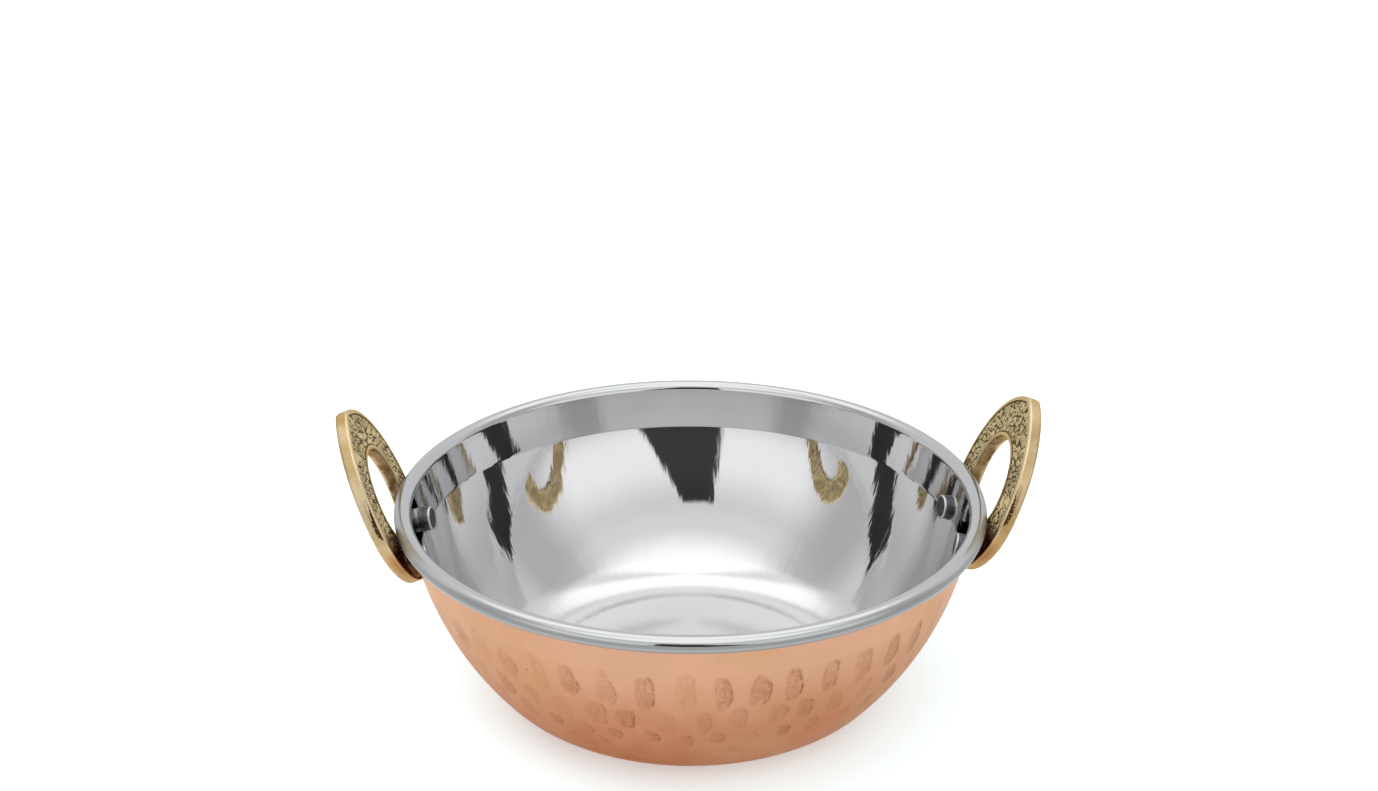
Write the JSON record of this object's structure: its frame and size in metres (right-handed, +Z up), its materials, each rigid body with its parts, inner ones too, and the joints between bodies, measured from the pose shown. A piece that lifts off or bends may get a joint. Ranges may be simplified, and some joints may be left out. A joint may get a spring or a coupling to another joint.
{
  "type": "kadai",
  "caption": "Small serving kadai with a stainless inner bowl, a hammered copper outer shell and two carved brass ring handles held by rivets.",
  "frame": {"origin": "centre of the flat base, on the surface the kadai stands on", "axes": "+X through the right handle, +Z up through the bowl's mouth"},
  "size_m": [0.164, 0.14, 0.0724],
  "materials": {
    "stainless": "mirror polished",
    "copper": "hammered satin",
    "cast_brass": "satin, dark in the carving",
    "rivet_steel": "brushed"
  },
  "bodies": {
    "root": {"inner_bowl": "stainless", "outer_shell": "copper", "handle_left": "cast_brass", "handle_right": "cast_brass", "rivet_left_front": "rivet_steel", "rivet_left_back": "rivet_steel", "rivet_right_front": "rivet_steel", "rivet_right_back": "rivet_steel"}
  },
  "joints": []
}
